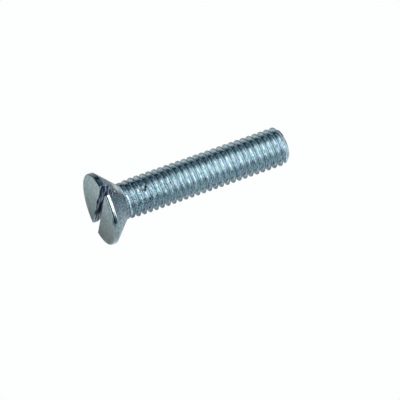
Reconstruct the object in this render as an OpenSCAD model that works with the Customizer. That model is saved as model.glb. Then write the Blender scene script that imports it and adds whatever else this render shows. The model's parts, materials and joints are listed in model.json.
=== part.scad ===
// Slotted countersunk bolt with a coarse right-hand thread up to its head, lying on its side.
// It is one turned and rolled piece of steel. It rests on the rim of its head and on the last
// full crest of its thread, with the driver slot standing upright.

/* [Length] */
// Overall length, from the flat face of the head to the end of the thread
bolt_len = 24.9; // [16:0.1:50]

/* [Head] */
// Diameter of the head over its rim
head_d = 9.15; // [8.6:0.05:11]
// Included angle of the countersunk cone
cone_angle = 90; // [82:1:100]
// Height of the straight rim between the flat face and the cone
rim_h = 0.65; // [0.4:0.05:0.9]
// Bevel where the flat face meets the rim
face_bevel = 0.08; // [0.04:0.01:0.15]
// Radius of the fillet between the cone and the neck
neck_fillet_r = 0.4; // [0.2:0.05:1.2]

/* [Driver slot] */
// Width of the driver slot
slot_w = 1.45; // [0.8:0.05:1.8]
// Depth of the driver slot below the flat face
slot_depth = 1.25; // [0.8:0.05:1.5]

/* [Thread] */
// Diameter over the thread crests
thread_d = 4.85; // [4.2:0.05:5.6]
// Distance from one crest to the next
pitch = 0.8; // [0.6:0.05:1]
// Included angle between the two flanks of the thread
flank_angle = 60; // [55:1:62]
// Width of the flat on each crest
crest_flat = 0.1; // [0.06:0.01:0.16]
// Depth of the thread from the crest to the ends of the rounded root
thread_depth = 0.45; // [0.3:0.01:0.47]
// Extra depth at the middle of the rounded root
root_sag = 0.04; // [0:0.01:0.06]
// Length over which the crests rise from the neck to their full height
runout_len = 1.7; // [0.8:0.1:2.5]
// Length over which the first groove deepens to its full depth
groove_in_len = 0.6; // [0.3:0.1:1.5]
// Distance from the bevel at the end back to the last full crest on the underside
crest_back = 0.35; // [0:0.05:0.75]

/* [Point] */
// Length of the bevel at the end of the thread
point_len = 0.6; // [0.4:0.05:0.9]
// Diameter of the flat at the end of the thread
point_d = 3.7; // [3.2:0.05:4]

/* [Hidden] */

// Roundness of the turned surfaces, and steps of the thread round one turn
round_steps = 96;
turn_steps = 36;
fillet_steps = 8;

head_r = head_d / 2;
thread_r = thread_d / 2;
point_r = point_d / 2;
half_cone = cone_angle / 2;
flank_slope = tan(flank_angle / 2);

// The neck keeps the size of the blank that the thread was rolled on, partway down the thread,
// and the threaded shank starts a little inside it.
blank_share = 0.37;
neck_r = thread_r - blank_share * thread_depth;
shank_step = 0.05;
shank_start_r = neck_r - shank_step;
shank_sink = 0.4;

// The fillet touches the cone and the neck, so its ends follow from the angle between them.
fillet_turn = half_cone;
fillet_reach = neck_fillet_r * tan(fillet_turn / 2);
cone_foot_z = rim_h + (head_r - neck_r) / tan(half_cone);
neck_start_z = cone_foot_z + fillet_reach;
neck_len = 0.05;
neck_end_z = neck_start_z + neck_len;
fillet_centre = [neck_r + neck_fillet_r, neck_start_z];

shank_start_z = neck_end_z - shank_sink;
last_crest_z = bolt_len - point_len - crest_back;

// At rest the bolt touches the ground at the rim's lower edge, beside the slot, and at the last
// full crest, so the thread's end lies lower than the head's middle.
function beside_slot(r) = sqrt(r * r - slot_w * slot_w / 4);
slot_edge_r = beside_slot(head_r);
rest_tilt = atan((slot_edge_r - thread_r) / (last_crest_z - rim_h));
rest_height = slot_edge_r * cos(rest_tilt) + rim_h * sin(rest_tilt);
rest_left = -beside_slot(head_r - face_bevel) * sin(rest_tilt);
rest_right = bolt_len * cos(rest_tilt) + point_r * sin(rest_tilt);
rest_middle = (rest_left + rest_right) / 2;

outline_points = 5;
turns_below = ceil((last_crest_z - shank_start_z) / pitch) + 1;
turns_above = ceil((bolt_len - last_crest_z) / pitch) + 2;
rows = (turns_below + turns_above) * outline_points;

// Share of a change that starts at the neck and is complete after a length.
function share_past_neck(z, len) = min(1, max(0, (z - neck_start_z) / len));

// How far the crests are cut below their full radius: down to the shank's start in the neck, and
// not at all past the run-out.
function crest_cut(z) = (thread_r - shank_start_r) * (1 - share_past_neck(z, runout_len));

// The thread's outline over one pitch, as each point's place along the axis, counted from the
// middle of a crest, and its depth. A cut crest is wider, as its flanks stay where they are.
function outline_point(row, cut) =
    let (
        half_crest = crest_flat / 2 + cut * flank_slope,
        root_edge = crest_flat / 2 + thread_depth * flank_slope
    )
    [
        [-half_crest, cut],
        [half_crest, cut],
        [root_edge, thread_depth],
        [pitch / 2, thread_depth + root_sag],
        [pitch - root_edge, thread_depth]
    ][row % outline_points];

// Radius of the bevelled point at a height, larger than the thread before the bevel starts.
function point_radius(z) = point_r + (bolt_len - z) * (thread_r - point_r) / point_len;

// Height of the middle of a crest: whole turns back from the last one, plus the climb of the helix.
function crest_height(row, step) =
    last_crest_z + pitch * (floor(row / outline_points) - turns_below + step / turn_steps);

// Height and radius of one thread point.
function thread_point(row, step) =
    let (
        middle = crest_height(row, step),
        cut = crest_cut(middle),
        point = outline_point(row, cut),
        z = middle + point[0],
        depth = cut + share_past_neck(z, groove_in_len) * (point[1] - cut)
    )
    [z, min(point_radius(z), thread_r - depth)];
function height(row, step) = thread_point(row, step)[0];

function on_circle(r, step, z) =
    [r * cos(360 * step / turn_steps), r * sin(360 * step / turn_steps), z];

// The points are the grid of the thread, then the ring at each end, then the two end centres.
// A grid point that lies past an end is taken as that end's ring point.
start_ring = rows * turn_steps;
end_ring = start_ring + turn_steps;
start_centre = end_ring + turn_steps;
end_centre = start_centre + 1;

function ring_or_grid(row, step, z) =
    z <= shank_start_z ? start_ring + step :
    z >= bolt_len ? end_ring + step :
    row * turn_steps + step;

// A step past the last one is the first step of the next turn.
function point_index(row, step) =
    step < turn_steps ?
    ring_or_grid(row, step, height(row, step)) :
    ring_or_grid(row + outline_points, 0, height(row + outline_points, 0));

function is_real(face) = face[0] != face[1] && face[1] != face[2] && face[2] != face[0];

// The threaded shank as one closed surface that follows the helix.
module threaded_shank() {
    grid = [
        for (row = [0 : rows - 1], step = [0 : turn_steps - 1])
            let (point = thread_point(row, step))
            on_circle(point[1], step, point[0])
    ];
    start_points = [for (step = [0 : turn_steps - 1]) on_circle(shank_start_r, step, shank_start_z)];
    end_points = [for (step = [0 : turn_steps - 1]) on_circle(point_r, step, bolt_len)];
    side = [
        for (row = [0 : rows - outline_points - 2], step = [0 : turn_steps - 1])
            let (
                a = point_index(row, step),
                b = point_index(row, step + 1),
                c = point_index(row + 1, step + 1),
                d = point_index(row + 1, step)
            )
            each [[a, c, b], [a, d, c]]
    ];
    caps = [
        for (step = [0 : turn_steps - 1])
            let (next = (step + 1) % turn_steps)
            each [
                [start_centre, start_ring + step, start_ring + next],
                [end_centre, end_ring + next, end_ring + step]
            ]
    ];
    polyhedron(
        points = concat(grid, start_points, end_points, [[0, 0, shank_start_z], [0, 0, bolt_len]]),
        faces = concat([for (face = side) if (is_real(face)) face], caps)
    );
}

// The head, its fillet and the neck, turned from one outline.
module turned_head() {
    fillet = [
        for (i = [0 : fillet_steps])
            let (a = 180 - fillet_turn * (1 - i / fillet_steps))
            fillet_centre + neck_fillet_r * [cos(a), -sin(a)]
    ];
    outline = concat(
        [
            [0, 0],
            [head_r - face_bevel, 0],
            [head_r, face_bevel],
            [head_r, rim_h]
        ],
        fillet,
        [
            [neck_r, neck_end_z],
            [0, neck_end_z]
        ]
    );
    rotate_extrude($fn = round_steps) polygon(outline);
}

module driver_slot() {
    cut_over = 1;
    translate([-head_r - cut_over, -slot_w / 2, -cut_over])
        cube([head_d + 2 * cut_over, slot_w, slot_depth + cut_over]);
}

// The whole bolt on its own axis, with the flat face at zero and the thread rising from it.
module upright_bolt() {
    difference() {
        union() {
            turned_head();
            threaded_shank();
        }
        driver_slot();
    }
}

module countersunk_bolt() {
    color("lightsteelblue")
        translate([-rest_middle, 0, rest_height])
        rotate([0, 90 + rest_tilt, 0])
        upright_bolt();
}

countersunk_bolt();
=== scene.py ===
"""A small countersunk bolt, zinc plated, lying on a white table under three wide lamps in a dark room."""
import json
import math

import bmesh
import bpy
import numpy as np
from mathutils import Matrix


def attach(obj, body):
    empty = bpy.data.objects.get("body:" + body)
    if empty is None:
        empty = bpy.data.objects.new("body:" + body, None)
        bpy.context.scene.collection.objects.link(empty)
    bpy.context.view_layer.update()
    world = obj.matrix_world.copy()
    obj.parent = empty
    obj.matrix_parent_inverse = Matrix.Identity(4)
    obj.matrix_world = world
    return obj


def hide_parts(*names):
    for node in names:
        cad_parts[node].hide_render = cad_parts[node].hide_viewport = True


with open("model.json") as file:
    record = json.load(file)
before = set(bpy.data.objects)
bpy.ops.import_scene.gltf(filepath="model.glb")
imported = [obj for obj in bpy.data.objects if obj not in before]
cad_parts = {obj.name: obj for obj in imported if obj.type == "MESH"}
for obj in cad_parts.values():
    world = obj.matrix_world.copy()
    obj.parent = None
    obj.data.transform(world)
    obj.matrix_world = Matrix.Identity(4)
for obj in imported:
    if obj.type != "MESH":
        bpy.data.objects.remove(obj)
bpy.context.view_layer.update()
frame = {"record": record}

# All sizes below are in millimetres. One millimetre in Blender's metres:
MM = 0.001
# Points that lie closer together than this are taken as one.
NEAR = 0.001

# The bolt's axis, its two ends and its main sizes, as the frame states them.
mounts = {mount["name"]: mount for mount in frame["record"]["mounts"]}
axis = np.array(mounts["point_face"]["axis"])
point_centre = np.array(mounts["point_face"]["pos_m"]) / MM
face_spot = np.array(mounts["head_face"]["pos_m"]) / MM
bolt_len = float((point_centre - face_spot) @ axis)
face_centre = point_centre - axis * bolt_len
thread_r = mounts["thread"]["dims"]["r_mm"]
# The solid's facets end this far short of the frame's radius, and the head stays inside them.
facet_gap = 0.005
head_r = mounts["countersunk_seat"]["dims"]["r_mm"] - facet_gap
slot_depth = float((np.array(mounts["driver_slot"]["pos_m"]) / MM - face_centre) @ axis)

# The sizes that the frame doesn't state. The head and the neck:
rim_h = 0.65
face_bevel = 0.12
slot_w = 1.45
neck_r = 2.2585
neck_fillet_r = 0.4
# The thread: how far its crests take to rise from the neck, its grooves to deepen and its foot to ease
# in, then its pitch, the flat and the arcs of its outline, and how steep its flanks rise.
runout_len = 1.7
groove_in_len = 0.6
ease_len = 0.1
pitch = 0.8
crest_flat = 0.09
crest_round = 0.035
root_round = 0.1
flank_steepness = math.radians(60)
# The bevelled end: its length, its flat's radius, and how far before it the last crest lies.
point_len = 0.6
point_r = 1.85
crest_back = 0.35
# How wide an edge is rounded, and the share of it that the lines of the face's bevel take.
edge_round = 0.06
bevel_round = 0.3

cone_foot_z = rim_h + head_r - neck_r
fillet_turn = math.radians(45)
neck_z = cone_foot_z + neck_fillet_r * math.tan(fillet_turn / 2)
last_crest_z = bolt_len - point_len - crest_back

# Steps round one turn. The slot takes SLOT_STEPS of them on either side of its middle. An arc of the
# thread's outline has ARC_POINTS points.
TURN_STEPS = 108
SLOT_STEPS = 3
ARC_POINTS = 4


def smooth(t):
    """Rises from 0 to 1 with level ends: three t squared less two t cubed."""
    t = np.clip(t, 0, 1)
    return t * t * (3 - 2 * t)


def bolt_axes():
    """The bolt's own axes as rows: x points down, y to the back, and z along the bolt from its face."""
    return np.array([[axis[2], 0, -axis[0]], [0, 1, 0], axis])


def lie_down(points):
    """Turns points on the bolt's own axes into the frame: the face's middle, plus each number times its
    axis."""
    return face_centre + points @ bolt_axes()


def stand_up(points):
    """The way back: how far points in the frame lie from the face's middle along each of the axes."""
    return (points - face_centre) @ bolt_axes().T


def mesh_places(mesh):
    """Every point of a mesh on the bolt's own axes, in millimetres."""
    points = np.empty(len(mesh.vertices) * 3)
    mesh.vertices.foreach_get("co", points)
    return stand_up(points.reshape(-1, 3) / MM)


def on_circle(r, angle, z):
    """The point at a radius and an angle round the axis, at a height along it."""
    r, angle, z = np.broadcast_arrays(r, angle, z)
    return np.stack([r * np.cos(angle), r * np.sin(angle), z], axis=-1)


def head_radius(z):
    """The turned outline: a bevel, a straight rim, the cone, then a fillet that meets the neck."""
    rim = head_r - np.maximum(face_bevel - z, 0)
    cone = head_r - (z - rim_h)
    fillet_start = cone_foot_z - neck_fillet_r * math.tan(fillet_turn / 2) * math.cos(fillet_turn)
    below = np.clip(neck_z - z, 0, neck_fillet_r * math.sin(fillet_turn))
    fillet = neck_r + neck_fillet_r - np.sqrt(neck_fillet_r ** 2 - below ** 2)
    return np.where(z <= rim_h, rim, np.where(z < fillet_start, cone, fillet))


def slot_angles(z):
    """The even angles of the steps, drawn in near the slot so that one falls on each of its walls.

    Within the slot an angle is scaled to the wall's angle, which is the arcsine of half the slot's width
    over the radius. From there to a right angle it is spread evenly. Below the slot's floor the wall's
    angle eases back to that of an even step."""
    even = 2 * np.pi * np.arange(TURN_STEPS + 1) / TURN_STEPS
    from_slot = (even + np.pi / 2) % np.pi - np.pi / 2
    even_wall = 2 * np.pi * SLOT_STEPS / TURN_STEPS
    wall = np.arcsin(slot_w / 2 / head_radius(np.minimum(z, slot_depth)))
    eased = smooth((z - slot_depth) / (cone_foot_z - slot_depth))
    wall = (wall + (even_wall - wall) * eased)[:, None]
    near = np.abs(from_slot) / even_wall * wall
    far = wall + (np.abs(from_slot) - even_wall) * (np.pi / 2 - wall) / (np.pi / 2 - even_wall)
    drawn = np.where(np.abs(from_slot) <= even_wall, near, far) * np.sign(from_slot)
    return even + drawn - from_slot


def head_patches():
    """The head as grids that share their edges, each with its finish: the rim and the cone with the two
    notches left open, the slot's floor and walls, and the two halves of the flat face.

    The rings are turned from the outline at heights that close up over the fillet. A wall runs straight
    from one side of the outline to the other, the face from a wall's top edge out to the rim's, and the
    floor from notch to notch."""
    rim_z = np.array([0, face_bevel, (face_bevel + rim_h) / 2, rim_h])
    upper_z = np.linspace(rim_h, slot_depth, 4)
    cone_end_z = cone_foot_z - 0.12
    fillet_first_z = cone_foot_z - 0.1
    lower_z = np.concatenate([
        np.linspace(slot_depth, cone_end_z, 10),
        np.linspace(fillet_first_z, neck_z, 7),
    ])
    rim, upper, lower = [on_circle(head_radius(z)[:, None], slot_angles(z), z[:, None])
                         for z in (rim_z, upper_z, lower_z)]
    half_turn = TURN_STEPS // 2
    first, last = SLOT_STEPS, half_turn - SLOT_STEPS
    left = slice(first, last + 1)
    right = slice(half_turn + first, half_turn + last + 1)
    patches = [("rim", rim[:, left]), ("rim", rim[:, right]),
               ("cone", upper[:, left]), ("cone", upper[:, right]), ("cone", lower)]

    along = np.linspace(1, -1, last - first + 1)
    wall_z = np.concatenate([rim_z, upper_z[1:]])
    wall_x = np.sqrt(head_radius(wall_z) ** 2 - slot_w ** 2 / 4)
    across = np.linspace(0, 1, 6)[:, None, None]
    for side, half in ((1, left), (-1, right)):
        wall = np.stack(np.broadcast_arrays(
            side * wall_x[:, None] * along, side * slot_w / 2, wall_z[:, None]), axis=-1)
        patches.append(("slot", wall))
        patches.append(("face", wall[0] + (rim[0, half] - wall[0]) * across))

    ring = lower[0]
    near_end = np.concatenate([ring[-1 - SLOT_STEPS:-1], ring[:SLOT_STEPS + 1]])
    floor = near_end[:, None] * np.array([1, 0, 0]) * along[None, :, None]
    patches.append(("slot", floor + near_end[:, None] * np.array([0, 1, 1])))
    return patches


def thread_outline():
    """Place along the axis and depth below the crest, over one pitch, and each point's share in a cut.

    Each half is the crest's flat, an arc that turns to the flank, the straight flank, and a wider arc
    that turns back to level at the middle of the root. Where the crest is cut lower, its points move
    down the flank by their share of the cut: all of it on the arc, then less in even steps to the root."""
    turned = np.linspace(0, flank_steepness, ARC_POINTS)
    on_flank = np.array([1, 2]) / 3
    crest_end = crest_flat / 2 + crest_round * math.sin(flank_steepness)
    root_start = pitch / 2 - root_round * math.sin(flank_steepness)
    crest_drop = crest_round * (1 - math.cos(flank_steepness))
    flank_drop = (root_start - crest_end) * math.tan(flank_steepness)
    depth = crest_drop + flank_drop + root_round * (1 - math.cos(flank_steepness))
    place = np.concatenate([
        crest_flat / 2 + crest_round * np.sin(turned),
        crest_end + (root_start - crest_end) * on_flank,
        pitch / 2 - root_round * np.sin(turned[::-1]),
    ])
    drop = np.concatenate([
        crest_round * (1 - np.cos(turned)),
        crest_drop + flank_drop * on_flank,
        depth - root_round * (1 - np.cos(turned[::-1])),
    ])
    share = np.concatenate([np.ones(ARC_POINTS), 1 - on_flank, np.zeros(ARC_POINTS)])
    halves = [(-place[-2::-1], place), (drop[-2::-1], drop), (share[-2::-1], share)]
    return [np.concatenate(pair) for pair in halves]


def thread_patch():
    """The thread as one grid that climbs a pitch a turn: rows follow its outline, columns go round.

    Past the neck the crests are cut lower, by a cut that shrinks to nothing over the run-out, and the
    grooves deepen from the cut crest to their full depth over a shorter length. The radius is never
    more than the bevel of the point. Rows past either end lie on that end's ring and merge away.
    Also gives each row's phase, its place in the pitch as an angle's cosine and sine, which run on
    smoothly from one root to the next."""
    place, drop, share = [part[:, None] for part in thread_outline()]
    below = math.ceil((last_crest_z - neck_z) / pitch) + 1
    above = math.ceil((bolt_len - last_crest_z) / pitch) + 2
    turns = np.arange(-below, above)[:, None, None]
    column = np.arange(TURN_STEPS + 1)
    middle = last_crest_z + pitch * (turns + column / TURN_STEPS)
    cut = (thread_r - neck_r) * (1 - np.clip((middle - neck_z) / runout_len, 0, 1))
    z = middle + place + np.sign(place) * share * cut / math.tan(flank_steepness)
    z = np.clip(z, neck_z, bolt_len)
    groove = np.clip((z - neck_z) / groove_in_len, 0, 1)
    depth = cut + groove * (drop + share * cut - cut)
    radius = neck_r + smooth((z - neck_z) / ease_len) * (thread_r - depth - neck_r)
    bevel = point_r + (bolt_len - z) * (thread_r - point_r) / point_len
    grid = on_circle(np.minimum(radius, bevel), 2 * np.pi * column / TURN_STEPS, z)
    phase = np.broadcast_to(on_circle(1, 2 * np.pi * place / pitch, 0), grid.shape)
    return grid.reshape(-1, TURN_STEPS + 1, 3), phase.reshape(-1, 3)


def point_patch():
    """The flat at the end of the thread, as rings that shrink to its middle. The first two lie close, so
    that the edge's rounding has its own narrow ring."""
    shrink = np.array([1, 0.93, 0.6, 0.3, 0])[:, None]
    angle = 2 * np.pi * np.arange(TURN_STEPS + 1) / TURN_STEPS
    return on_circle(point_r * shrink, angle, bolt_len)


def quads(patch, first):
    """The four corners of each cell of a grid, counted on from the first point's number."""
    rows, columns = patch.shape[:2]
    number = first + np.arange(rows * columns).reshape(rows, columns)
    corners = [number[:-1, :-1], number[:-1, 1:], number[1:, 1:], number[1:, :-1]]
    return np.stack(corners, axis=-1).reshape(-1, 4)


def edge_rounding(mesh):
    """How far each edge of the head and the point is rounded, as a share of edge_round. An edge is
    rounded if it joins two points of one named line: the two lines of the face's bevel, which lie close
    together and so are rounded less, the slot's edges on the face and the side, the rim's line to the
    cone, the floor's ends, and the outline of the flat end."""
    x, y, z = mesh_places(mesh).T
    radius = np.hypot(x, y)
    on_face = np.abs(z) < NEAR
    on_wall = (np.abs(np.abs(y) - slot_w / 2) < NEAR) & (z < slot_depth + NEAR)
    on_side = np.abs(radius - head_radius(z)) < NEAR
    in_slot = np.abs(y) < slot_w / 2 + NEAR
    lines = [
        (bevel_round, on_face & on_side),
        (bevel_round, on_side & (np.abs(z - face_bevel) < NEAR)),
        (1, on_face & on_wall),
        (1, on_side & on_wall),
        (1, on_side & (np.abs(z - rim_h) < NEAR)),
        (1, on_side & in_slot & (np.abs(z - slot_depth) < NEAR)),
        (1, (np.abs(z - bolt_len) < NEAR) & (np.abs(radius - point_r) < NEAR)),
    ]
    ends = np.empty(len(mesh.edges) * 2, int)
    mesh.edges.foreach_get("vertices", ends)
    ends = ends.reshape(-1, 2)
    return np.max([share * line[ends].all(axis=1) for share, line in lines], axis=0)


def bolt_mesh(finishes):
    """All the patches as one closed surface, with the shared edges merged and the faces turned out.

    Each patch's faces take the material of its finish, by its place in the list of finishes. The flat
    end takes the cone's. Two attributes serve the materials: every point's place on the bolt's own axes,
    in millimetres, and the thread's phase, which is 0 off the thread. The thread comes last among the
    patches, so its phases fill the end of the list."""
    thread, phase = thread_patch()
    patches = head_patches() + [("cone", point_patch()), ("thread", thread)]
    points = []
    faces = []
    finish_numbers = []
    count = 0
    for finish, patch in patches:
        points.append(lie_down(patch).reshape(-1, 3) * MM)
        faces.append(quads(patch, count))
        finish_numbers.append(np.full(len(faces[-1]), finishes.index(finish)))
        count += len(points[-1])
    phases = np.zeros((count, 3), np.float32)
    phases[-len(phase):] = phase
    mesh = bpy.data.meshes.new("countersunk_bolt_surface")
    mesh.from_pydata(np.concatenate(points).tolist(), [], np.concatenate(faces).tolist())
    mesh.polygons.foreach_set("material_index", np.concatenate(finish_numbers))
    mesh.attributes.new("phase", "FLOAT_VECTOR", "POINT").data.foreach_set("vector", phases.ravel())
    work = bmesh.new()
    work.from_mesh(mesh)
    bmesh.ops.remove_doubles(work, verts=work.verts, dist=NEAR * MM)
    bmesh.ops.recalc_face_normals(work, faces=work.faces)
    work.to_mesh(mesh)
    work.free()
    mesh.shade_smooth()
    weights = mesh.attributes.new("bevel_weight_edge", "FLOAT", "EDGE")
    weights.data.foreach_set("value", edge_rounding(mesh).astype(np.float32))
    place = mesh.attributes.new("bolt_place", "FLOAT_VECTOR", "POINT")
    place.data.foreach_set("vector", mesh_places(mesh).ravel().astype(np.float32))
    return mesh


# Where a finish is as bright as it gets, and what the camera sees of the table and the room.
FULL_WHITE = "#ffffff"
BACKDROP_WHITE = "#fdfefe"


def linear(hex_colour):
    """An sRGB hex colour as the linear red, green, blue and alpha that shaders take, by the curve that
    the sRGB standard gives."""
    srgb = np.array([int(hex_colour[i:i + 2], 16) for i in (1, 3, 5)]) / 255
    straight = np.where(srgb <= 0.04045, srgb / 12.92, ((srgb + 0.055) / 1.055) ** 2.4)
    return (*straight.tolist(), 1.0)


def add_node(tree, kind, settings=None, inputs=None, stops=None):
    """Adds a node with its settings, its inputs as values or as links from other nodes' sockets, and a
    colour ramp's stops, each a place and a hex colour or a grey."""
    node = tree.nodes.new(kind)
    for name, value in (settings or {}).items():
        setattr(node, name, value)
    for key, value in (inputs or {}).items():
        if isinstance(value, bpy.types.NodeSocket):
            tree.links.new(value, node.inputs[key])
        else:
            node.inputs[key].default_value = value
    if stops:
        band = node.color_ramp.elements
        band.remove(band[1])
        for i, (place, colour) in enumerate(stops):
            stop = band.new(place) if i else band[0]
            stop.position = place
            stop.color = linear(colour) if isinstance(colour, str) else (colour, colour, colour, 1)
    return node


def new_metal(name):
    """A material with an empty tree, and the output that gives a point's place on the bolt."""
    material = bpy.data.materials.new(name)
    material.use_nodes = True
    tree = material.node_tree
    tree.nodes.clear()
    place = add_node(tree, "ShaderNodeAttribute", {"attribute_name": "bolt_place"}).outputs["Vector"]
    return material, tree, place


def share_of_turn(tree, vector):
    """The angle of a vector's x and y as a share of a turn, from 0 to 1: 0.5 where it points along x,
    0.75 along y and 0.25 the other way. So on the bolt's own axes 0 and 1 are its top, 0.25 its front,
    0.5 its underside and 0.75 its back."""
    part = add_node(tree, "ShaderNodeSeparateXYZ", None, {0: vector})
    angle = add_node(tree, "ShaderNodeMath", {"operation": "ARCTAN2"},
                     {0: part.outputs["Y"], 1: part.outputs["X"]})
    share = add_node(tree, "ShaderNodeMapRange", None,
                     {"Value": angle.outputs[0], "From Min": -math.pi, "From Max": math.pi})
    return share.outputs["Result"]


def mark(tree, place, centre, radius, stops):
    """A ragged round mark: its colour by the distance from its centre, from 0 there to 1 at the radius,
    with a noise of 0.15 mm added that comes to about a quarter of the radius either way."""
    raggedness = 1.4
    away = add_node(tree, "ShaderNodeVectorMath", {"operation": "DISTANCE"}, {0: place, 1: centre})
    chip = add_node(tree, "ShaderNodeTexNoise", None, {"Vector": place, "Scale": 6.0})
    ragged = add_node(tree, "ShaderNodeMath", {"operation": "MULTIPLY_ADD"},
                      {0: chip.outputs["Fac"], 1: raggedness, 2: -raggedness / 2})
    share = add_node(tree, "ShaderNodeMath", {"operation": "MULTIPLY_ADD"},
                     {0: away.outputs["Value"], 1: 1 / radius, 2: ragged.outputs[0]})
    shade = add_node(tree, "ShaderNodeValToRGB", None, {"Fac": share.outputs[0]}, stops)
    return shade.outputs["Color"]


def plate(tree, layers, roughness, height, relief):
    """Joins layers of colour, which multiply, a roughness and a height map, whose relief is in
    millimetres, to a metal shader."""
    colour = layers[0]
    for layer in layers[1:]:
        product = add_node(tree, "ShaderNodeVectorMath", {"operation": "MULTIPLY"},
                           {0: colour, 1: layer})
        colour = product.outputs[0]
    bump = add_node(tree, "ShaderNodeBump", None,
                    {"Strength": 1.0, "Distance": relief * MM, "Height": height})
    shader = add_node(tree, "ShaderNodeBsdfPrincipled", None,
                      {"Base Color": colour, "Metallic": 1.0, "Roughness": roughness,
                       "Normal": bump.outputs["Normal"]})
    add_node(tree, "ShaderNodeOutputMaterial", None, {"Surface": shader.outputs["BSDF"]})


# The thread's colour across one pitch, by the distance from the middle of a crest: the root, the
# flank that faces the head, the crest, the far flank and the next root. It is painted light: a painted
# highlight on the flanks, brightest on the one that faces the head, and painted shade on the crest
# and in the roots.
PAINTED_PITCH_LIGHT = [(-0.4, "#8c989e"), (-0.34, "#b4c0c6"), (-0.27, "#e2ecf2"), (-0.2, "#e2ecf2"),
           (-0.14, "#c8d7de"), (-0.05, "#9babb4"), (0.05, "#9babb4"), (0.11, "#d8e4ea"),
           (0.3, "#d8e4ea"), (0.4, "#8c989e")]
# Painted shade at the bolt's back, in the same way: how much darker the thread is drawn deep in the
# grooves.
PAINTED_BACK_GROOVE_SHADE = [(-0.4, "#4c585f"), (-0.36, "#4c585f"), (-0.3, "#d0d7da"), (-0.18, 1.0), (0.06, 1.0),
                (0.2, "#9ca8ae"), (0.34, "#4c585f"), (0.4, "#4c585f")]
# And painted shade low down at its front: on all but the flank that faces the head.
PAINTED_LOW_FRONT_SHADE = [(-0.4, "#bcc5c9"), (-0.34, 1.0), (-0.12, 1.0), (-0.04, "#bcc5c9"), (0.4, "#bcc5c9")]

# Pits in the thread's zinc, each as its angle round the bolt in degrees, its height, its distance
# from the axis and its own radius.
PITS = [(189, 6.0, 2.4, 0.32), (194, 5.4, 2.1, 0.3), (200, 8.5, 2.25, 0.3), (226, 6.0, 2.4, 0.24)]


def over_pitch(shades):
    """A ramp's stops for shades given by the distance from the middle of a crest: a crest is at 0.5, and
    the pitch runs from 0 to 1."""
    return [(0.5 + from_crest / pitch, shade) for from_crest, shade in shades]


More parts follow.
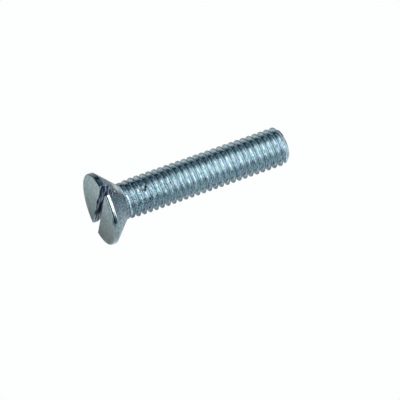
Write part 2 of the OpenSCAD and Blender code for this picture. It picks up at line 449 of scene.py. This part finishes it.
def zinc_on_rolled_thread():
    """Bright zinc over the rolled thread. Its colour over each pitch is painted light: a painted highlight
    as a clean bright line on the head's side of each crest, a lesser one on the far flanks, and painted
    shade on the crests and in the roots. Painted shade also darkens the grooves at the bolt's back, and
    the thread low at its front and underneath. By the neck it has dark specks, a few pits, and the rough
    grey surface of the blank, drawn darker there as painted shade.

    The zinc's crystals, some 0.01 mm, are drawn as streaks of 0.1 by 0.7 mm round the thread, and the
    specks 0.15 mm wide, because finer ones wouldn't show. Its thin film turns the colour greenish and
    pinkish in patches of 0.4 mm."""
    material, tree, place = new_metal("zinc_on_rolled_thread")
    part = add_node(tree, "ShaderNodeSeparateXYZ", None, {0: place})
    round_bolt = share_of_turn(tree, place)
    phase = add_node(tree, "ShaderNodeAttribute", {"attribute_name": "phase"})
    in_pitch = share_of_turn(tree, phase.outputs["Vector"])
    # The thread's painted light over each pitch: painted highlight on the flanks, painted shade on crest
    # and roots.
    pitch_painted_light = add_node(tree, "ShaderNodeValToRGB", None, {"Fac": in_pitch}, over_pitch(PAINTED_PITCH_LIGHT))

    drawn = add_node(tree, "ShaderNodeVectorMath", {"operation": "MULTIPLY"},
                     {0: place, 1: (1.4, 1.4, 9.0)})
    grain = add_node(tree, "ShaderNodeTexNoise", None,
                     {"Vector": drawn.outputs[0], "Scale": 1.0, "Detail": 2.0, "Roughness": 0.7})
    speckle = add_node(tree, "ShaderNodeValToRGB", None, {"Fac": grain.outputs["Fac"]},
                       [(0.36, "#b2bdc3"), (0.5, "#dfe6e9"), (0.64, "#fafcfd")])
    film = add_node(tree, "ShaderNodeTexNoise", None, {"Vector": place, "Scale": 2.5, "Detail": 1.0})
    hue = add_node(tree, "ShaderNodeValToRGB", None, {"Fac": film.outputs["Fac"]},
                   [(0.36, "#e6f4ec"), (0.5, "#fdfffc"), (0.64, "#f4f0f7")])

    # By the neck: the blank's rough surface, drawn darker as painted shade by the head, then specks that
    # grow weaker along the bolt.
    skin_and_painted_shade = add_node(tree, "ShaderNodeMapRange", None,
                    {"Value": part.outputs["Z"], "From Min": neck_z, "From Max": neck_z + 0.9})
    neck_painted_shade = add_node(tree, "ShaderNodeValToRGB", None, {"Fac": skin_and_painted_shade.outputs["Result"]},
                         [(0.0, "#b0babf"), (0.4, "#e4e9eb"), (1.0, 1.0)])
    dust = add_node(tree, "ShaderNodeTexNoise", None,
                    {"Vector": place, "Scale": 6.0, "Detail": 1.0, "Roughness": 0.6})
    speck = add_node(tree, "ShaderNodeValToRGB", None, {"Fac": dust.outputs["Fac"]},
                     [(0.34, "#66737b"), (0.42, "#e8eef0"), (0.46, 1.0)])
    by_neck = add_node(tree, "ShaderNodeMapRange", None,
                       {"Value": part.outputs["Z"], "From Min": 5.0, "From Max": 12.0,
                        "To Min": 1.0, "To Max": 0.2})
    specked = add_node(tree, "ShaderNodeMix", {"data_type": "RGBA"},
                       {0: by_neck.outputs["Result"], 6: linear(FULL_WHITE), 7: speck.outputs["Color"]})

    # Round the bolt, painted shade: darker grooves at the back, then darker low at the front and
    # underneath.
    back = add_node(tree, "ShaderNodeValToRGB", None, {"Fac": round_bolt},
                    [(0.5, 0.0), (0.53, 1.0), (0.9, 1.0), (0.93, 0.45), (1.0, 0.0)])
    groove = add_node(tree, "ShaderNodeValToRGB", None, {"Fac": in_pitch}, over_pitch(PAINTED_BACK_GROOVE_SHADE))
    painted_groove_shade = add_node(tree, "ShaderNodeMix", {"data_type": "RGBA"},
                       {0: back.outputs["Color"], 6: linear(FULL_WHITE), 7: groove.outputs["Color"]})
    front = add_node(tree, "ShaderNodeValToRGB", None, {"Fac": round_bolt},
                     [(0.11, 0.0), (0.18, 1.0), (0.33, 1.0), (0.45, 0.0)])
    low = add_node(tree, "ShaderNodeValToRGB", None, {"Fac": in_pitch}, over_pitch(PAINTED_LOW_FRONT_SHADE))
    painted_low_front_shade = add_node(tree, "ShaderNodeMix", {"data_type": "RGBA"},
                       {0: front.outputs["Color"], 6: linear(FULL_WHITE), 7: low.outputs["Color"]})
    # Painted shade: the thread drawn darker from low at its front round to its underside.
    under = add_node(tree, "ShaderNodeValToRGB", None, {"Fac": round_bolt},
                     [(0.23, 1.0), (0.27, "#a8b0b3"), (0.5, "#a8b0b3"), (0.53, 1.0)])

    pits = [mark(tree, place, on_circle(r, math.radians(angle), z).tolist(), size,
                 [(0.4, "#1b2830"), (0.9, 1.0)]) for angle, z, r, size in PITS]
    rough = add_node(tree, "ShaderNodeMapRange", None,
                     {"Value": grain.outputs["Fac"], "To Min": 0.24, "To Max": 0.18})
    plate(tree, [pitch_painted_light.outputs["Color"], speckle.outputs["Color"], hue.outputs["Color"],
                 neck_painted_shade.outputs["Color"], specked.outputs[2], painted_groove_shade.outputs[2],
                 painted_low_front_shade.outputs[2], under.outputs["Color"], *pits],
          rough.outputs["Result"], grain.outputs["Fac"], relief=0.005)
    return material


def zinc_on_turned_cone():
    """Zinc over the turned cone, and over the flat end of the thread: mid grey and finely pitted, duller
    by the rim and the neck, with a painted sheen on its top by the neck. Below the slot, where the saw
    came out, the burr is drawn as a painted glint ringed with painted shade. The pits, some 0.02 mm, are
    drawn 0.15 mm wide so that they show."""
    material, tree, place = new_metal("zinc_on_turned_cone")
    grain = add_node(tree, "ShaderNodeTexNoise", None,
                     {"Vector": place, "Scale": 6.0, "Detail": 2.0, "Roughness": 0.7})
    pitted = add_node(tree, "ShaderNodeValToRGB", None, {"Fac": grain.outputs["Fac"]},
                      [(0.36, "#3c4c5a"), (0.5, "#6f818a"), (0.62, "#b4c2c8")])
    part = add_node(tree, "ShaderNodeSeparateXYZ", None, {0: place})
    up_cone = add_node(tree, "ShaderNodeMapRange", None,
                       {"Value": part.outputs["Z"], "From Min": rim_h, "From Max": neck_z})
    darkened = add_node(tree, "ShaderNodeValToRGB", None, {"Fac": up_cone.outputs["Result"]},
                      [(0.0, "#dfe3e5"), (0.45, "#e4e8ea"), (0.7, 1.0), (1.0, "#c8d0d5")])
    # A painted sheen on the cone's top by the neck.
    painted_sheen = mark(tree, place, (-2.45, 0.65, 2.7), 1.1, [(0.3, 1.0), (1.0, 0.0)])
    with_painted_sheen = add_node(tree, "ShaderNodeMix", {"data_type": "RGBA"},
                       {0: painted_sheen, 6: pitted.outputs["Color"], 7: linear("#f4f8fa")})
    # The burr where the saw came out: a painted glint in a ring of painted shade.
    burr = (-3.44, -0.03, 1.8)
    burr_painted_shade = mark(tree, place, burr, 0.5, [(0.3, 1.0), (0.42, "#10181c"), (0.68, "#1c262b"), (0.9, 1.0)])
    painted_glint = mark(tree, place, burr, 0.3, [(0.4, 1.0), (1.0, 0.0)])
    with_painted_glint = add_node(tree, "ShaderNodeMix", {"data_type": "RGBA"},
                      {0: painted_glint, 6: with_painted_sheen.outputs[2], 7: linear(FULL_WHITE)})
    rough = add_node(tree, "ShaderNodeMapRange", None,
                     {"Value": grain.outputs["Fac"], "To Min": 0.2, "To Max": 0.5})
    plate(tree, [with_painted_glint.outputs[2], darkened.outputs["Color"], burr_painted_shade],
          rough.outputs["Result"], grain.outputs["Fac"], relief=0.05)
    return material


def zinc_on_pressed_face():
    """Zinc over the pressed head face: matt and clouded, greenish grey with warmer patches some 0.8 mm
    wide, drawn darker towards the lower front as painted shade, and one bright nick at the edge of the
    slot. The die's grain, some 0.05 mm, is drawn 0.25 mm coarse so that it shows."""
    material, tree, place = new_metal("zinc_on_pressed_face")
    cloud = add_node(tree, "ShaderNodeTexNoise", None,
                     {"Vector": place, "Scale": 1.3, "Detail": 4.0, "Roughness": 0.7})
    clouded = add_node(tree, "ShaderNodeValToRGB", None, {"Fac": cloud.outputs["Fac"]},
                       [(0.36, "#a0c6c4"), (0.5, "#cde1e1"), (0.62, "#ede4eb")])
    grain = add_node(tree, "ShaderNodeTexNoise", None,
                     {"Vector": place, "Scale": 4.0, "Detail": 2.0, "Roughness": 0.7})
    speckle = add_node(tree, "ShaderNodeValToRGB", None, {"Fac": grain.outputs["Fac"]},
                       [(0.35, "#c4caca"), (0.6, 1.0)])
    # Painted shade: the face drawn darker towards the lower front.
    down_and_front = (0.75, -0.65, 0.0)
    reach = add_node(tree, "ShaderNodeVectorMath", {"operation": "DOT_PRODUCT"},
                     {0: place, 1: down_and_front})
    to_lower_front = add_node(tree, "ShaderNodeMapRange", None,
                              {"Value": reach.outputs["Value"], "From Min": -head_r, "From Max": head_r})
    painted_shade_to_lower_front = add_node(tree, "ShaderNodeValToRGB", None, {"Fac": to_lower_front.outputs["Result"]},
                       [(0.15, "#dfdfdf"), (0.52, "#b6b6b6"), (0.85, "#898989")])
    nick = mark(tree, place, (-1.7, -1.1, 0), 0.22, [(0.4, 1.0), (1.0, 0.0)])
    nicked = add_node(tree, "ShaderNodeMix", {"data_type": "RGBA"},
                      {0: nick, 6: clouded.outputs["Color"], 7: linear(FULL_WHITE)})
    rough = add_node(tree, "ShaderNodeMapRange", None,
                     {"Value": grain.outputs["Fac"], "To Min": 0.4, "To Max": 0.6})
    plate(tree, [nicked.outputs[2], speckle.outputs["Color"], painted_shade_to_lower_front.outputs["Color"]],
          rough.outputs["Result"], grain.outputs["Fac"], relief=0.012)
    return material


def zinc_on_sawn_slot():
    """Zinc over the sawn slot: drawn dark and purplish as painted shade in the recess, with the saw's
    streaks along the slot, and a duller and greener grey at the end where the saw went in. The streaks,
    some 0.05 mm apart, are drawn 0.25 mm apart so that they show."""
    material, tree, place = new_metal("zinc_on_sawn_slot")
    drawn = add_node(tree, "ShaderNodeVectorMath", {"operation": "MULTIPLY"},
                     {0: place, 1: (0.4, 4.0, 4.0)})
    streak = add_node(tree, "ShaderNodeTexNoise", None,
                      {"Vector": drawn.outputs[0], "Scale": 1.0, "Detail": 2.0, "Roughness": 0.6})
    # The saw's streaks, over a dark purplish tone that is painted shade in the slot.
    streaks_and_painted_shade = add_node(tree, "ShaderNodeValToRGB", None, {"Fac": streak.outputs["Fac"]},
                        [(0.42, "#1a1e30"), (0.5, "#8c95a5"), (0.57, "#eaf0fc")])
    part = add_node(tree, "ShaderNodeSeparateXYZ", None, {0: place})
    to_entry = add_node(tree, "ShaderNodeMapRange", None,
                        {"Value": part.outputs["X"], "From Min": 1.7, "From Max": 2.3})
    darkened = add_node(tree, "ShaderNodeValToRGB", None, {"Fac": to_entry.outputs["Result"]},
                      [(0.0, "#f0f3f8"), (1.0, "#cedada")])
    rough = add_node(tree, "ShaderNodeMapRange", None,
                     {"Value": streak.outputs["Fac"], "To Min": 0.3, "To Max": 0.55})
    plate(tree, [streaks_and_painted_shade.outputs["Color"], darkened.outputs["Color"]],
          rough.outputs["Result"], streak.outputs["Fac"], relief=0.03)
    return material


def zinc_on_turned_rim():
    """Zinc over the turned rim: smooth, with cloudy marks some 0.3 mm wide. From the top a little way
    down the front it is drawn bright, a painted highlight where it flashes under the lamps, and there the
    face's matt coat laps over the edge and ends in a dark line of painted shade. Round the rest of the
    rim it is drawn darker as painted shade, most at the back."""
    material, tree, place = new_metal("zinc_on_turned_rim")
    grain = add_node(tree, "ShaderNodeTexNoise", None,
                     {"Vector": place, "Scale": 3.0, "Detail": 3.0, "Roughness": 0.6})
    marked = add_node(tree, "ShaderNodeValToRGB", None, {"Fac": grain.outputs["Fac"]},
                      [(0.35, "#9fb0b5"), (0.6, "#e6eef0")])
    part = add_node(tree, "ShaderNodeSeparateXYZ", None, {0: place})
    round_rim = share_of_turn(tree, place)
    # Painted light round the rim: full colour as a painted highlight at the top and a little way down the
    # front, and painted shade round the rest, darkest at the back.
    darkened = add_node(tree, "ShaderNodeValToRGB", None, {"Fac": round_rim},
                      [(0.12, 1.0), (0.14, "#a0abaf"), (0.17, "#828d90"), (0.49, "#828d90"),
                       (0.51, "#65737a"), (0.99, "#65737a"), (1.0, 1.0)])
    bright_part = add_node(tree, "ShaderNodeValToRGB", None, {"Fac": round_rim},
                           [(0.15, 1.0), (0.17, 0.0)])
    from_face = add_node(tree, "ShaderNodeMapRange", None,
                         {"Value": part.outputs["Z"], "From Max": rim_h})
    # The face's matt lap, then a dark line of painted shade, where the rim is bright.
    skin_and_painted_shade = add_node(tree, "ShaderNodeValToRGB", None, {"Fac": from_face.outputs["Result"]},
                    [(0.26, "#a6b4b6"), (0.3, "#141d20"), (0.48, "#141d20"), (0.54, 1.0)])
    lapped_with_painted_line = add_node(tree, "ShaderNodeMix", {"data_type": "RGBA"},
                      {0: bright_part.outputs["Color"], 6: linear(FULL_WHITE), 7: skin_and_painted_shade.outputs["Color"]})
    matt_skin = add_node(tree, "ShaderNodeMapRange", None,
                         {"Value": from_face.outputs["Result"], "From Min": 0.26, "From Max": 0.34,
                          "To Min": 0.4, "To Max": 0.0})
    smooth_rim = add_node(tree, "ShaderNodeMapRange", None,
                          {"Value": grain.outputs["Fac"], "To Min": 0.08, "To Max": 0.18})
    rough = add_node(tree, "ShaderNodeMath", {"operation": "MULTIPLY_ADD"},
                     {0: matt_skin.outputs["Result"], 1: bright_part.outputs["Color"],
                      2: smooth_rim.outputs["Result"]})
    plate(tree, [marked.outputs["Color"], darkened.outputs["Color"], lapped_with_painted_line.outputs[2]],
          rough.outputs[0], grain.outputs["Fac"], relief=0.02)
    return material


def matt_white_board():
    """Matt white board, with faint clouds some 25 mm wide, and greyer behind the bolt than before it, as
    painted shade.
    The camera sees it as plain white, so that the bolt's soft shadow washes out, and the bolt mirrors
    its true, shaded surface."""
    material = bpy.data.materials.new("matt_white_board")
    material.use_nodes = True
    tree = material.node_tree
    tree.nodes.clear()
    spot = add_node(tree, "ShaderNodeTexCoord").outputs["Object"]
    cloud = add_node(tree, "ShaderNodeTexNoise", None, {"Vector": spot, "Scale": 40.0})
    tint = add_node(tree, "ShaderNodeValToRGB", None, {"Fac": cloud.outputs["Fac"]},
                    [(0.0, "#f6f8f9"), (1.0, 1.0)])
    part = add_node(tree, "ShaderNodeSeparateXYZ", None, {0: spot})
    # Painted shade: the board drawn greyer behind the bolt.
    to_back = add_node(tree, "ShaderNodeMapRange", None,
                       {"Value": part.outputs["Y"], "From Min": -5 * MM, "From Max": 5 * MM})
    shade = add_node(tree, "ShaderNodeValToRGB", None, {"Fac": to_back.outputs["Result"]},
                     [(0.0, "#f0f3f4"), (1.0, "#b8bdbe")])
    white = add_node(tree, "ShaderNodeVectorMath", {"operation": "MULTIPLY"},
                     {0: tint.outputs["Color"], 1: shade.outputs["Color"]})
    board = add_node(tree, "ShaderNodeBsdfDiffuse", None, {"Color": white.outputs[0]})
    washed = add_node(tree, "ShaderNodeEmission", None,
                      {"Color": linear(BACKDROP_WHITE), "Strength": 1.0})
    path = add_node(tree, "ShaderNodeLightPath")
    seen = add_node(tree, "ShaderNodeMixShader", None,
                    {0: path.outputs["Is Camera Ray"], 1: board.outputs[0], 2: washed.outputs[0]})
    add_node(tree, "ShaderNodeOutputMaterial", None, {"Surface": seen.outputs[0]})
    return material


def countersunk_bolt():
    """The bolt, which stands for the frame's solid of the same name."""
    finishes = {
        "face": zinc_on_pressed_face(),
        "rim": zinc_on_turned_rim(),
        "cone": zinc_on_turned_cone(),
        "slot": zinc_on_sawn_slot(),
        "thread": zinc_on_rolled_thread(),
    }
    bolt = bpy.data.objects.new("zinc_plated_bolt", bolt_mesh(list(finishes)))
    bpy.context.scene.collection.objects.link(bolt)
    for material in finishes.values():
        bolt.data.materials.append(material)
    rounding = bolt.modifiers.new("plated_edges", "BEVEL")
    rounding.limit_method = "WEIGHT"
    rounding.width = edge_round * MM
    rounding.segments = 2
    rounding.use_clamp_overlap = False
    rounding.harden_normals = True
    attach(bolt, "root")
    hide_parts("countersunk_bolt")
    return bolt


def white_table():
    """A level white board under the bolt, as one flat sheet that reaches 0.6 m each way."""
    half = 600 * MM
    corners = [(-half, -half, 0), (half, -half, 0), (half, half, 0), (-half, half, 0)]
    mesh = bpy.data.meshes.new("white_table")
    mesh.from_pydata(corners, [], [(0, 1, 2, 3)])
    table = bpy.data.objects.new("white_table", mesh)
    bpy.context.scene.collection.objects.link(table)
    mesh.materials.append(matt_white_board())


# The camera looks down at a steep angle through a very long lens, from the side of the head.
# The head's middle lies at HEAD_PIXEL in a picture of PICTURE pixels a side.
CAMERA_HEIGHT_ANGLE = 62.24
CAMERA_TURN = 26.82
CAMERA_ROLL = 2.26
PIXELS_PER_MM = 8.225
PICTURE = 400
HEAD_PIXEL = (98.5, 209.8)
CAMERA_DISTANCE = 900.0
SENSOR = 36.0


def photo_camera():
    """Puts the camera so that the head's middle falls on its pixel, at the picture's scale."""
    turn = math.radians(CAMERA_TURN)
    rise = math.radians(CAMERA_HEIGHT_ANGLE)
    roll = math.radians(CAMERA_ROLL)
    ahead = np.array([math.sin(turn), math.cos(turn), 0])
    level = np.array([math.cos(turn), -math.sin(turn), 0])
    look = ahead * math.cos(rise) - np.array([0, 0, math.sin(rise)])
    over = ahead * math.sin(rise) + np.array([0, 0, math.cos(rise)])
    right = level * math.cos(roll) + over * math.sin(roll)
    up = over * math.cos(roll) - level * math.sin(roll)
    to_middle = np.array([PICTURE / 2 - HEAD_PIXEL[0], HEAD_PIXEL[1] - PICTURE / 2]) / PIXELS_PER_MM
    middle = face_centre + right * to_middle[0] + up * to_middle[1]
    camera = bpy.data.objects.new("photo_camera", bpy.data.cameras.new("photo_camera"))
    bpy.context.scene.collection.objects.link(camera)
    camera.location = ((middle - look * CAMERA_DISTANCE) * MM).tolist()
    camera.rotation_euler = Matrix((right, up, -look)).transposed().to_euler()
    camera.data.sensor_width = SENSOR
    camera.data.lens = SENSOR * CAMERA_DISTANCE * PIXELS_PER_MM / PICTURE
    camera.data.clip_start = 50 * MM
    camera.data.clip_end = 5000 * MM
    bpy.context.scene.camera = camera


# Three wide lamps hang over the table in a dark room: one towards the head's side, one overhead and one
# towards the thread's end. Each has its share of light by the direction's part along the bolt, from -1
# at the head's side to 1, and its brightness by the height over the horizon behind the bolt: 0 there,
# 90 overhead and 180 at the horizon before it.
LAMPS = [
    ([(-0.85, 0), (-0.45, 1), (0.1, 0)],
     [(58, 0), (66, 1.2), (96, 4.0), (134, 5.0), (155, 3.2), (180, 2.6)]),
    ([(-0.45, 0), (0.1, 1), (0.4, 1), (0.75, 0)],
     [(8, 0), (20, 1.0), (45, 0.6), (64, 1.4), (96, 2.2), (118, 1.8), (138, 1.6), (150, 0.8),
      (165, 0.3), (180, 0.6)]),
    ([(0.4, 0), (0.72, 1), (0.94, 0)],
     [(12, 1.1), (24, 0.3), (36, 0.8), (52, 2.6), (66, 3.4), (96, 3.2), (118, 2.8), (144, 3.1),
      (165, 3.4), (180, 3.0)]),
]
# The hue of the darkest part of the room. The light turns from it to white as it gains strength, and is
# quite white from WHITE_LIGHT on.
DARK_WALL = "#2fa4c8"
WHITE_LIGHT = 1.6


def room_light():
    """Light from all round: the sum over the lamps of the share along the bolt times the brightness by
    height, tinted by the hue that goes with its strength."""
    world = bpy.data.worlds.new("room_light")
    bpy.context.scene.world = world
    world.use_nodes = True
    tree = world.node_tree
    tree.nodes.clear()
    sight = add_node(tree, "ShaderNodeTexCoord").outputs["Generated"]
    part = add_node(tree, "ShaderNodeSeparateXYZ", None, {0: sight})
    angle = add_node(tree, "ShaderNodeMath", {"operation": "ARCTAN2"},
                     {0: part.outputs["Z"], 1: part.outputs["Y"]})
    height = add_node(tree, "ShaderNodeMath", {"operation": "DIVIDE"},
                      {0: angle.outputs[0], 1: math.pi})
    along = add_node(tree, "ShaderNodeMapRange", None, {"Value": part.outputs["X"], "From Min": -1.0})
    total = (0, 0, 0)
    for reach, heights in LAMPS:
        peak = max(value for _, value in heights)
        by_height = add_node(tree, "ShaderNodeValToRGB", None, {"Fac": height.outputs[0]},
                             [(degrees / 180, value / peak) for degrees, value in heights])
        by_reach = add_node(tree, "ShaderNodeValToRGB", None, {"Fac": along.outputs["Result"]},
                            [((x + 1) / 2, share) for x, share in reach])
        lamp = add_node(tree, "ShaderNodeVectorMath", {"operation": "MULTIPLY"},
                        {0: by_height.outputs["Color"], 1: by_reach.outputs["Color"]})
        total = add_node(tree, "ShaderNodeVectorMath", {"operation": "MULTIPLY_ADD"},
                         {0: lamp.outputs[0], 1: (peak, peak, peak), 2: total}).outputs[0]
    strength = add_node(tree, "ShaderNodeVectorMath", {"operation": "SCALE"},
                        {0: total, "Scale": 1 / WHITE_LIGHT})
    hue = add_node(tree, "ShaderNodeValToRGB", None, {"Fac": strength.outputs[0]},
                   [(0.0, DARK_WALL), (1.0, 1.0)])
    tinted = add_node(tree, "ShaderNodeVectorMath", {"operation": "MULTIPLY"},
                      {0: total, 1: hue.outputs["Color"]})
    glow = add_node(tree, "ShaderNodeBackground", None, {"Color": tinted.outputs[0], "Strength": 1.0})
    plain = add_node(tree, "ShaderNodeBackground", None,
                     {"Color": linear(BACKDROP_WHITE), "Strength": 1.0})
    path = add_node(tree, "ShaderNodeLightPath")
    seen = add_node(tree, "ShaderNodeMixShader", None,
                    {0: path.outputs["Is Camera Ray"], 1: glow.outputs[0], 2: plain.outputs[0]})
    add_node(tree, "ShaderNodeOutputWorld", None, {"Surface": seen.outputs[0]})


bpy.context.scene.view_settings.view_transform = "Standard"
bpy.context.scene.view_settings.look = "None"
photo_camera()
room_light()
white_table()
countersunk_bolt()
